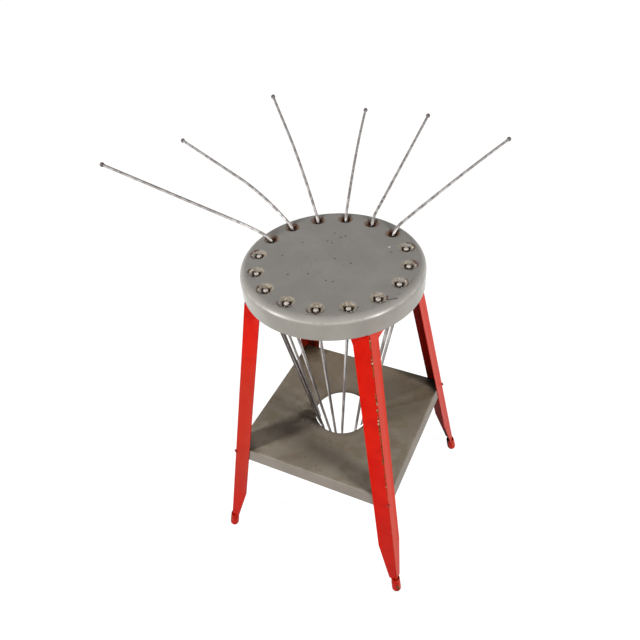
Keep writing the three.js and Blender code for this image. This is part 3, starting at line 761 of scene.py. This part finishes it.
def shelf_tray():
    flare = math.degrees(shelf_flare)
    reach = shelf_fold / math.tan(math.radians((90 + flare) / 2))
    fold = arc((shelf_half - reach, shelf_level - shelf_fold), shelf_fold, 90, flare, 8)
    end = fold[-1]
    for share in (0.2, 0.4, 0.6, 0.8, 1):
        drop = share * (end[1] - shelf_level + shelf_skirt)
        fold.append((end[0] + drop * math.tan(shelf_flare), end[1] - drop))
    outer = rounded_square(fold[0][0], shelf_corner, shelf_level)
    points = []
    for share in (0, 0.012, 0.03, 0.08, 0.16, 0.26, 0.38, 0.5, 0.62, 0.74, 0.86, 0.95):
        for spoke in outer:
            ring = unit(spoke * np.array([1, 1, 0])) * shelf_hole
            place = ring * (1 - share) + spoke * share
            dent = ripple(place, shelf_dent_width, shelf_dent, 4.0)
            place[2] = shelf_level - dent * math.sin(math.pi * share)
            points.append(place)
    for half, level in fold:
        points += rounded_square(half, shelf_corner, level)
    return points, grid_faces(len(points) // len(outer), len(outer), closed=True)


points, faces = shelf_tray()
add_piece("folded_shelf", points, faces, "shelf_tray", "stool", shelf_enamel(), shelf_sheet)


# Legs: angle section with a rounded ridge, flared into the rim and tapered to the foot
def flange_width(level):
    if level <= leg_mouth:
        return leg_end_flange
    share = min(1, (level - leg_mouth) / (leg_taper_level - leg_mouth))
    return leg_mouth_flange + (leg_flange - leg_mouth_flange) * share


def crease_width(level, width):
    least = tab_start * math.sqrt(2)
    share = min(1, max(0, (-rim_height - level) / leg_flare))
    return least + (width - flange_edge - least) * share


def flange_line(level, steps=9):
    """Places on one flange from the ridge to its edge, as distances in from the ridge and across."""
    width = flange_width(level)
    crease = crease_width(level, width)
    start = leg_ridge_round * 1.02
    line = [(w * math.sqrt(0.5), w * math.sqrt(0.5)) for w in (start, (start + crease) / 2, crease)]
    base = ridge_radius(level)
    rim_turn = math.atan2(line[2][1], base - line[2][0])
    heading = rim_turn + math.asin((width - tab_start * math.sqrt(2)) / (2 * rim_fit))
    inwards, across = line[2]
    for _ in range(steps):
        step = (width - crease) / steps
        inwards += step * math.sin(heading)
        across += step * math.cos(heading)
        line.append((inwards, across))
    return line


def leg_sheet_mesh():
    levels = [leg_end_level, leg_mouth - 1, leg_mouth, leg_mouth + leg_sheet]
    levels += list(np.linspace(leg_mouth + 4, leg_taper_level, 15))
    levels += list(np.linspace(leg_taper_level + 12, -rim_height - leg_flare, 40))
    levels += list(np.linspace(-rim_height - leg_flare, -rim_height - fit_gap, 11)[1:])
    below = len(levels)
    levels += list(np.linspace(-rim_height + 1, -rim_round, 5))
    points = []
    for level in levels:
        base = ridge_radius(level)
        line = flange_line(level)
        centre = base - leg_ridge_round * math.sqrt(2)
        tip = arc((centre, 0), leg_ridge_round, -45, 45, 6)
        ring = [(base - a, -b) for a, b in reversed(line)] + tip + [(base - a, b) for a, b in line]
        for x, y in ring:
            dent = ripple((x, y, level), leg_dent_width, leg_dent, 9.0) * min(1, max(0, (-60 - level) / 60))
            points.append(np.array([x - dent * (1 - min(1, abs(y) / 20)), y, level]))
    columns = len(ring)
    first = len(line) - 3
    hidden = range(first, columns - first - 1)
    return points, grid_faces(len(levels), columns, skip=lambda i, j: i >= below - 1 and j in hidden)


def turned_by(points, degrees):
    turn = np.array(Matrix.Rotation(math.radians(degrees), 3, "Z"))
    return [turn @ point for point in points]


leg_points, leg_faces = leg_sheet_mesh()
worn_red = leg_enamel("worn_leg_enamel", 1.0)
plain_red = leg_enamel("leg_enamel", 0.35)
for side, angle in leg_angles.items():
    add_piece(
        f"leg_{side}_sheet", turned_by(leg_points, angle), leg_faces, f"leg_{side}", "stool",
        worn_red if side == "front" else plain_red, leg_sheet,
    )


# Foot cups: rolled round the leg's end, with the seam left open as a slot towards the stool's middle
def foot_cup():
    top = (foot_height - foot_radius) / math.cos(leg_lean)
    sole = foot_radius - foot_wear
    sunk = math.degrees(math.asin(sole / cup_radius))
    wall = [share * (top - cup_lip) for share in (0.25, 0.5, 0.75)]
    profile = [(0, -sole), *arc((0, 0), cup_radius, -sunk, 0, 12)]
    outer = len(profile) - 1
    profile += [(cup_radius, wall[0]), (cup_radius, wall[1]), (cup_radius - 0.3, wall[2])]
    profile += arc((foot_inner + cup_lip, top - cup_lip), cup_lip, 0, 180, 6)
    profile += [(foot_inner, height) for height in reversed(wall)]
    inner = len(profile)
    profile += arc((0, 0), foot_inner, 0, -90, 8)
    round_columns, slot_columns = 33, 3
    columns = round_columns + slot_columns
    points = []
    for radius, height in profile:
        half = math.degrees(math.asin(foot_slot / 2 / max(radius, foot_inner)))
        angles = list(np.linspace(half - 180, 180 - half, round_columns))
        angles += list(np.linspace(180 - half, 180 + half, slot_columns + 2)[1:-1])
        points += [compass(angle, radius, height) for angle in angles]

    def in_slot(row, column):
        return outer <= row < inner and column >= round_columns - 1

    faces = grid_faces(len(profile), columns, closed=True, skip=in_slot)
    for column in (0, round_columns - 1):
        for k in range((inner - outer) // 2):
            rows = (outer + k, outer + k + 1, inner - k - 1, inner - k)
            faces.append(tuple(row * columns + column for row in rows))
    for column in range(round_columns - 1, columns):
        after = (column + 1) % columns
        rows = ((outer, column), (outer, after), (inner, after), (inner, column))
        faces.append(tuple(row * columns + place for row, place in rows))
    middle = np.array([ridge_radius(foot_dome_level) - leg_end_flange * math.sqrt(0.5), 0, foot_dome_level])
    stand = stood(points, middle, (-math.sin(leg_lean), 0, math.cos(leg_lean)))
    return [np.array([x, y, max(z, -seat_height)]) for x, y, z in stand], faces


foot_points, foot_faces = foot_cup()
for side, angle in leg_angles.items():
    add_piece(
        f"foot_{side}_cup", turned_by(foot_points, angle), foot_faces, f"foot_{side}", "stool",
        plain_red,
    )


# Shelf bolts and nuts
def bolt_place(angle):
    level = shelf_level - bolt_depth
    excess = (math.sqrt(2) - 1) * leg_ridge_round
    axis = compass(angle, math.cos(leg_lean), math.sin(leg_lean))
    return compass(angle, ridge_radius(level) - excess, level), axis


def bolt_mesh():
    end = -nut_face - nut_height - bolt_tail
    profile = [(0, end), (bolt_radius - bolt_chamfer, end), (bolt_radius, end + bolt_chamfer)]
    for k in range(int((nut_height + bolt_tail + thread_grip) / thread_pitch)):
        start = end + bolt_chamfer + k * thread_pitch
        profile.append((bolt_radius - thread_depth, start + thread_pitch / 2))
        profile.append((bolt_radius, start + thread_pitch))
    profile += [(bolt_radius, fit_gap), (bolt_head_radius - 0.2, fit_gap)]
    dome = (bolt_head_radius**2 + bolt_head_height**2) / (2 * bolt_head_height)
    start = math.degrees(math.asin((dome - bolt_head_height + bolt_head_edge) / dome))
    profile += arc((0, fit_gap + bolt_head_height - dome), dome, start, 90, 8)
    return turned(profile, 28)


def nut_mesh():
    """A hexagon nut with turned-down corners."""
    flat = nut_width / 2
    bore = bolt_radius + fit_gap
    sides = 48
    face, corner = flat * 0.96, flat * 1.155
    rows = [(bore, 0, False), (face, 0, False), (corner, nut_chamfer, True)]
    rows += [(corner, nut_height - nut_chamfer, True), (face, nut_height, False), (bore, nut_height, False)]
    points = []
    for radius, height, cornered in rows:
        for j in range(sides):
            angle = 360 * j / sides
            off = math.radians((angle + 30) % 60 - 30)
            reach = min(radius, flat / math.cos(off)) if cornered else radius
            points.append(compass(angle, reach, height - nut_face - nut_height))
    faces = grid_faces(len(rows), sides, closed=True)
    last = (len(rows) - 1) * sides
    faces += [(last + j, last + (j + 1) % sides, (j + 1) % sides, j) for j in range(sides)]
    return points, faces


bolt_finish = bolt_metal()
for side, angle in leg_angles.items():
    place, axis = bolt_place(angle)
    for name, node, (points, faces) in (
        (f"bolt_{side}", f"shelf_bolt_{side}", bolt_mesh()),
        (f"nut_{side}", f"shelf_nut_{side}", nut_mesh()),
    ):
        add_piece(name, stood(points, place, axis), faces, node, "stool", bolt_finish)


# Rods and ball heads
def hanging_stations(number):
    turn, share = hanging_rods[number]
    head = compass(hole_angle(number), hole_circle, ball_level)
    gather = compass(hole_angle(number) + turn, gather_radius * share, shelf_level)
    along = unit(head - gather)
    return [(head - along * rod_length, along), (head, along)]


def raised_stations(number):
    angle, root_rise, tip_rise, bend_share = raised_rods[number]

    def heading(rise):
        return compass(angle, math.cos(math.radians(rise)), math.sin(math.radians(rise)))

    throat = compass(hole_angle(number), hole_circle, -throat_depth)
    stations = [(throat - heading(neck_root_rise) * tail_length, heading(neck_root_rise))]
    stations.append((throat, heading(neck_root_rise)))

    def advance(length, start, stop, steps):
        for i in range(steps):
            rise = start + (stop - start) * (i + 0.5) / steps
            end = stations[-1][0] + heading(rise) * length / steps
            stations.append((end, heading(start + (stop - start) * (i + 1) / steps)))

    neck = neck_radius * math.radians(neck_root_rise - root_rise)
    arm = rod_length - tail_length - neck
    advance(neck, neck_root_rise, root_rise, 8)
    advance(arm * bend_share, root_rise, tip_rise, 7)
    advance(arm * (1 - bend_share), tip_rise, tip_rise, 1)
    return stations


def smooth_line(stations, spacing):
    """Points and directions along a smooth line through the stations."""
    line = [stations[0]]
    for (start, leave), (end, arrive) in zip(stations, stations[1:]):
        length = np.linalg.norm(end - start)
        steps = max(1, round(length / spacing))
        for t in np.linspace(0, 1, steps + 1)[1:]:
            a, b = 2 * t**3 - 3 * t**2 + 1, t**3 - 2 * t**2 + t
            c, d = 3 * t**2 - 2 * t**3, t**3 - t**2
            point = a * start + b * length * leave + c * end + d * length * arrive
            line.append((point, unit(leave * (1 - t) + arrive * t)))
    return line


def rod_mesh(stations):
    foot, tip = stations[0], stations[-1]
    shoulder = (tip[0] - tip[1] * (ball_flat_drop + 2 * fit_gap), tip[1])
    blend = flat_end + flat_blend
    line = smooth_line([(foot[0] + foot[1] * blend, foot[1]), *stations[1:-1], shoulder], 5)
    start = [(foot[0] + foot[1] * along, foot[1]) for along in (0, 0.5, 1.2, 5, flat_end, 12, 14)]
    wide = [1.42, 1.56, 1.6, 1.6, 1.6, 1.36, 1.12] + [1] * len(line)
    thin = [0.42, 0.55, 0.6, 0.6, 0.6, 0.74, 0.9] + [1] * len(line)
    slim = spigot_radius / rod_radius
    spigot = (fit_gap - ball_flat_drop, head_radius - fit_gap)
    head = [(tip[0] + tip[1] * along, tip[1]) for along in spigot]
    wide += [slim, slim]
    thin += [slim, slim]
    sides = 16
    rows = []
    for (point, along), broad, flat in zip(start + line + head, wide, thin):
        across = unit(np.cross([0, 0, 1], along))
        up = np.cross(along, across)
        for j in range(sides):
            angle = 2 * math.pi * j / sides
            spoke = across * broad * math.cos(angle) + up * flat * math.sin(angle)
            rows.append(point + rod_radius * spoke)
    count = len(rows) // sides
    faces = grid_faces(count, sides, closed=True)
    faces.append(tuple(range(sides)))
    faces.append(tuple(range((count - 1) * sides, count * sides)))
    return rows, faces


def ball_mesh(stations):
    """A round head, flat below where the rod's shoulder carries it, with a ring round the spigot on top."""
    centre, along = stations[-1]
    bore = spigot_radius + fit_gap
    start = -math.degrees(math.acos(rod_radius / head_radius))
    stop = math.degrees(math.acos(bore / head_radius))
    profile = [(bore, -ball_flat_drop), *arc((0, 0), head_radius, start, stop, 16)]
    profile += [(bore - 0.12, profile[-1][1] - 0.35), (bore, -ball_flat_drop)]
    points, faces = turned(profile, 32)
    return stood(points, centre, along), faces


stored_finish = rod_metal("stored_rod_metal", 0.0, (1, 1, 0.12), 0.6)
dark_finish = rod_metal("dark_rod_metal", 0.55, (1, 1, 0.12), 0.95)
raised_finish = rod_metal("raised_rod_metal", 0.0, (1.1, 1.1, 1.1), 0.2)
ball_finish = ball_metal()
for number in range(1, hole_count + 1):
    stations = raised_stations(number) if number in raised_rods else hanging_stations(number)
    label = f"{number:02d}"
    points, faces = rod_mesh(stations)
    metal = dark_finish if number in dark_rods else stored_finish
    if number in raised_rods:
        metal = raised_finish
    body = f"rod_{label}_body"
    add_piece(f"bar_{label}", points, faces, f"rod_{label}", body, metal)
    points, faces = ball_mesh(stations)
    add_piece(f"head_{label}", points, faces, f"ball_{label}", body, ball_finish)


# Floor, lights and camera
def floor_paper():
    """White for what looks at it; for the light that falls on things it is a dim matt sheet that also glows a
    little, a soft light from below.
    """
    finish = Finish("floor_paper")
    paper = finish.node("ShaderNodeBsdfDiffuse", {}, {"Color": (0.25, 0.25, 0.25)})
    white = finish.mix(finish.radius.between(900, 2600), (0.94, 0.94, 0.94), (1.0, 1.0, 1.0))
    glow = finish.node("ShaderNodeEmission", {}, {"Color": white, "Strength": finish.seen() * 0.6 + 0.4})
    both = finish.node("ShaderNodeAddShader", {}, {0: paper, 1: glow})
    finish.end_with("ShaderNodeOutputMaterial", both)
    return finish.material


def add_floor():
    shape = bmesh.new()
    bmesh.ops.create_circle(shape, cap_ends=True, segments=64, radius=floor_radius)
    mesh = bpy.data.meshes.new("floor")
    shape.to_mesh(mesh)
    shape.free()
    floor = bpy.data.objects.new("floor", mesh)
    floor.location = (0, 0, -seat_height * MM - floor_drop)
    bpy.context.scene.collection.objects.link(floor)
    mesh.materials.append(floor_paper())


def aim(thing, place, target, roll=0.0):
    """Puts a lamp or camera at a place, looking at the target, turned round its own view line."""
    forward = (Vector(target) - Vector(place)).normalized()
    right = forward.cross(Vector((0, 0, 1))).normalized()
    up = right.cross(forward)
    right, up = right * math.cos(roll) + up * math.sin(roll), up * math.cos(roll) - right * math.sin(roll)
    turn = Matrix((right, up, -forward)).transposed().to_4x4()
    thing.matrix_world = Matrix.Translation(place) @ turn


def add_lamp(name, place, target, width, height, power):
    light = bpy.data.lights.new(name, "AREA")
    light.shape = "RECTANGLE"
    light.size = width
    light.size_y = height
    light.energy = power
    lamp = bpy.data.objects.new(name, light)
    bpy.context.scene.collection.objects.link(lamp)
    aim(lamp, place, target)


def add_world(strength):
    """White for what looks at it, and a faint light of the given strength on everything."""
    world = bpy.data.worlds.new("studio")
    sky = Nodes(world)
    amount = sky.seen() * (1 - strength) + strength
    light = sky.node("ShaderNodeBackground", {}, {"Color": (1, 1, 1), "Strength": amount})
    sky.end_with("ShaderNodeOutputWorld", light)
    bpy.context.scene.world = world


def add_camera(place, target, roll, lens):
    data = bpy.data.cameras.new("camera")
    data.sensor_width = 36
    data.lens = lens
    camera = bpy.data.objects.new("camera", data)
    bpy.context.scene.collection.objects.link(camera)
    aim(camera, place, target, roll)
    bpy.context.scene.camera = camera


# Sizes and places in metres, powers in watts, the lens in millimetres and the roll in radians
floor_radius = 14
floor_drop = 0.0005
sky_strength = 0.08
lamp_target = (0, 0, -0.25)
camera_place = (0.43549856, -0.86035169, 0.68436247)
camera_target = (-0.03176918, -0.00983918, -0.15155388)
camera_roll = -0.09092
camera_lens = 35.443

add_floor()
add_world(sky_strength)
add_lamp("left_softbox", (-1.77, -1.97, 0.69), lamp_target, 0.5, 0.8, 78)
add_lamp("right_softbox", (2.55, -0.73, 0.65), lamp_target, 0.6, 0.7, 70)
add_camera(camera_place, camera_target, camera_roll, camera_lens)
bpy.context.scene.view_settings.view_transform = "Standard"
